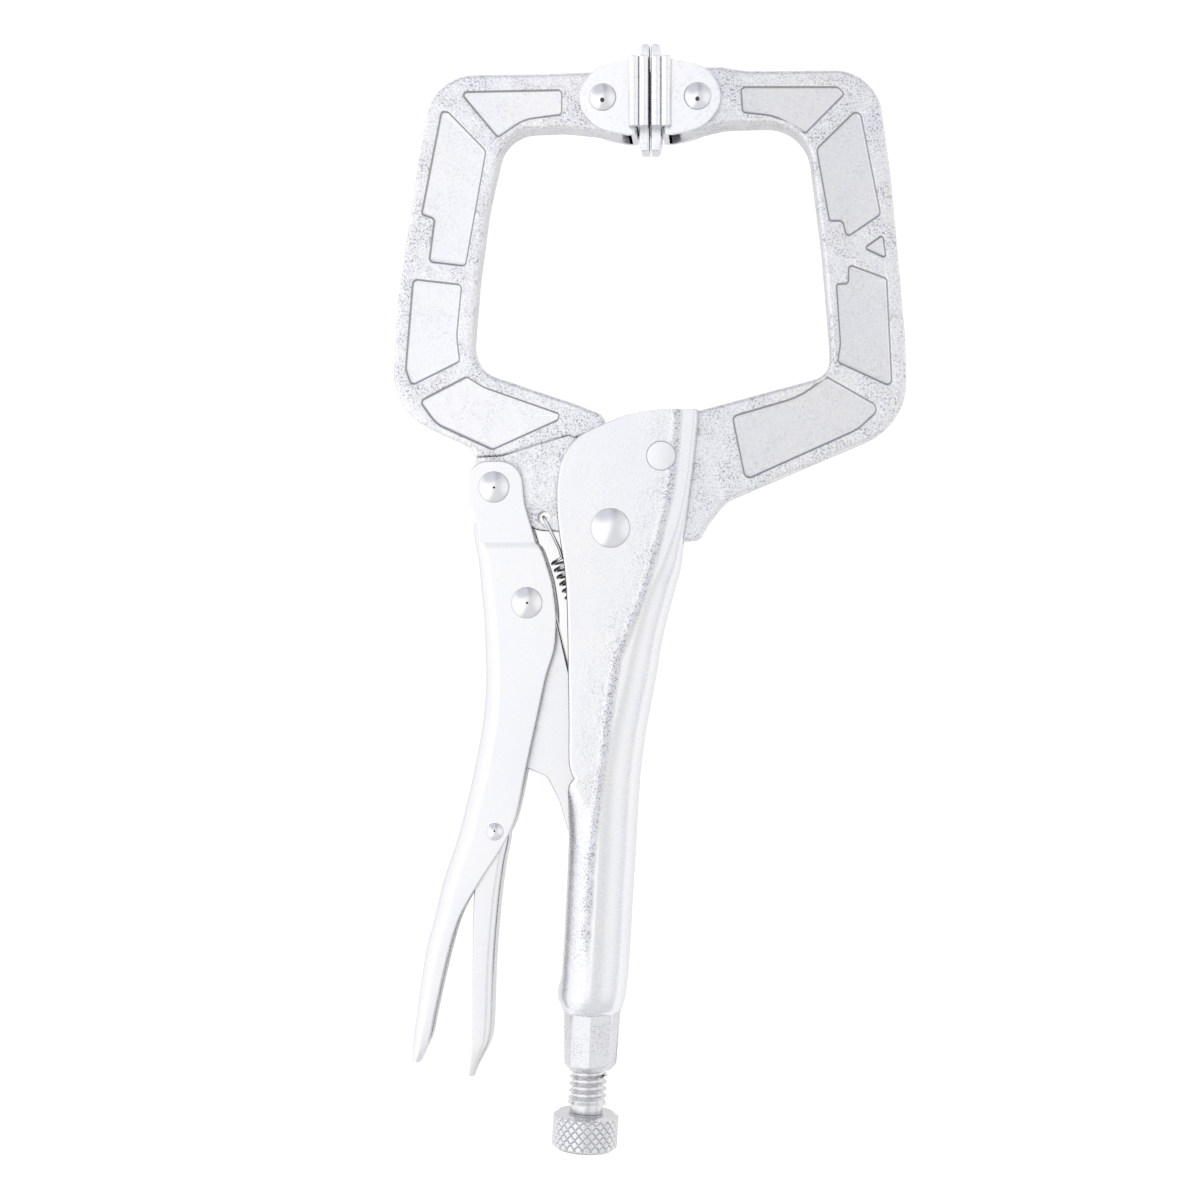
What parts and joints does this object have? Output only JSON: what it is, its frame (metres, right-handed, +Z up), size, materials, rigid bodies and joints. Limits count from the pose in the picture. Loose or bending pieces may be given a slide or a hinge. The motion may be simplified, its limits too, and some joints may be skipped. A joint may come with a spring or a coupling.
{
  "type": "locking c-clamp pliers",
  "caption": "Locking C-clamp pliers with wide C-shaped jaws, swivel pads, a stamped channel handle, a toggle lever, a release lever and a knurled adjusting screw.",
  "frame": {"origin": "centre of the bottom of the bounding box, on the surface that the closed tool lies on", "axes": "+Y along the tool from the adjusting knob to the jaws, +X from the movable jaw to the fixed jaw, +Z up, square to the flat of the tool and along every rivet"},
  "size_m": [0.1282, 0.2774, 0.0188],
  "materials": {
    "forged_steel": "matt bright plating over a forged surface",
    "stamped_steel": "satin bright plating over stamped sheet",
    "rivet_steel": "polished domed rivet heads",
    "screw_steel": "plain plated turned steel",
    "spring_wire": "drawn spring wire"
  },
  "bodies": {
    "fixed_frame": {"fixed_handle": "stamped_steel", "fixed_jaw": "forged_steel", "fixed_jaw_rivet": "forged_steel", "main_pivot_rivet": "rivet_steel", "return_spring": "spring_wire", "fixed_pad_rivet": "rivet_steel"},
    "movable_jaw_arm": {"movable_jaw": "forged_steel", "lever_pivot_rivet": "rivet_steel", "movable_pad_rivet": "rivet_steel"},
    "lever": {"operating_lever": "stamped_steel", "link_rivet": "rivet_steel", "release_rivet": "rivet_steel"},
    "link": {"toggle_link": "stamped_steel"},
    "release": {"release_lever": "stamped_steel"},
    "screw": {"adjusting_screw": "screw_steel"},
    "knob": {"adjusting_knob": "screw_steel"},
    "movable_pad": {"movable_pad_bracket": "stamped_steel", "movable_pad_plate": "stamped_steel"},
    "fixed_pad": {"fixed_pad_bracket": "stamped_steel", "fixed_pad_plate": "stamped_steel"}
  },
  "joints": [
    {"name": "jaw_pivot", "type": "hinge", "parent": "fixed_frame", "child": "movable_jaw_arm", "pos_m": [-0.00941, 0.0177, 0.0094], "axis": [0, 0, 1], "range_deg": [0, 28], "deforming": ["return_spring"]},
    {"name": "lever_pivot", "type": "hinge", "parent": "movable_jaw_arm", "child": "lever", "pos_m": [-0.03861, 0.028, 0.0094], "axis": [0, 0, 1], "range_deg": [-74.5, 0]},
    {"name": "link_pivot", "type": "hinge", "parent": "lever", "child": "link", "pos_m": [-0.03031, -0.00089, 0.0094], "axis": [0, 0, 1], "range_deg": [0, 73]},
    {"name": "release_pivot", "type": "hinge", "parent": "lever", "child": "release", "pos_m": [-0.03831, -0.05799, 0.0094], "axis": [0, 0, 1], "range_deg": [-9, 0]},
    {"name": "screw_travel", "type": "slide", "parent": "fixed_frame", "child": "screw", "axis": [-0.0569, -0.9984, 0], "range_m": [0, 0.0175]},
    {"name": "knob_spin", "type": "hinge", "parent": "screw", "child": "knob", "pos_m": [-0.01642, -0.13828, 0.0094], "axis": [-0.0569, -0.9984, 0], "range_deg": [0, 3605]},
    {"name": "movable_pad_swivel", "type": "hinge", "parent": "movable_jaw_arm", "child": "movable_pad", "pos_m": [-0.01141, 0.12491, 0.0094], "axis": [0, 0, 1], "range_deg": [-8, 8]},
    {"name": "fixed_pad_swivel", "type": "hinge", "parent": "fixed_frame", "child": "fixed_pad", "pos_m": [0.01219, 0.12491, 0.0094], "axis": [0, 0, 1], "range_deg": [-8, 8]}
  ],
  "couplings": [
    {"joint": "lever_pivot", "follows": "jaw_pivot", "ratio": -2.64},
    {"joint": "link_pivot", "follows": "jaw_pivot", "ratio": 2.58},
    {"joint": "knob_spin", "follows": "screw_travel", "rad_per_m": 3590.4},
    {"joint": "fixed_pad_swivel", "follows": "movable_pad_swivel", "ratio": 1}
  ]
}
